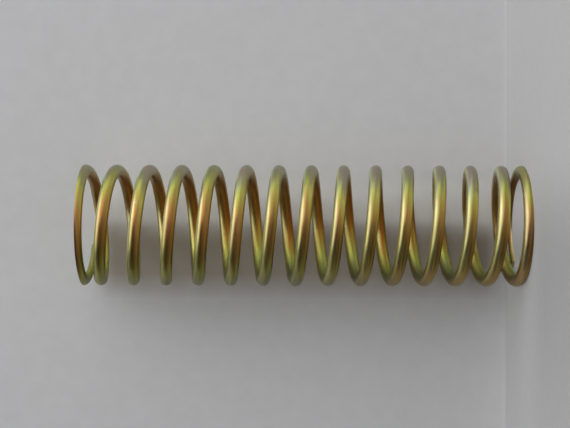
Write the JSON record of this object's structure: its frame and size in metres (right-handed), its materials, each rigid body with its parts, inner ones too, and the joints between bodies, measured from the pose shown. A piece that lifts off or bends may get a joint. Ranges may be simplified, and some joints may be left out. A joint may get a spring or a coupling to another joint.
{
  "type": "compression spring",
  "caption": "Slender left-hand wound compression spring of round steel wire, with closed and ground ends, that pushes back along its axis.",
  "frame": {"origin": "centre of the lower ground face, on the coil's axis", "axes": "+Z along the coil's axis, from the lower ground face to the upper one; +X and +Y are square to it, and the wire's lower tip lies 137 degrees from +X towards +Y"},
  "size_m": [0.02, 0.02, 0.0724],
  "materials": {
    "chromated_steel": "bright zinc plate with an iridescent yellow chromate, over drawn wire"
  },
  "bodies": {
    "root": {"compression_spring": "chromated_steel"}
  },
  "joints": []
}
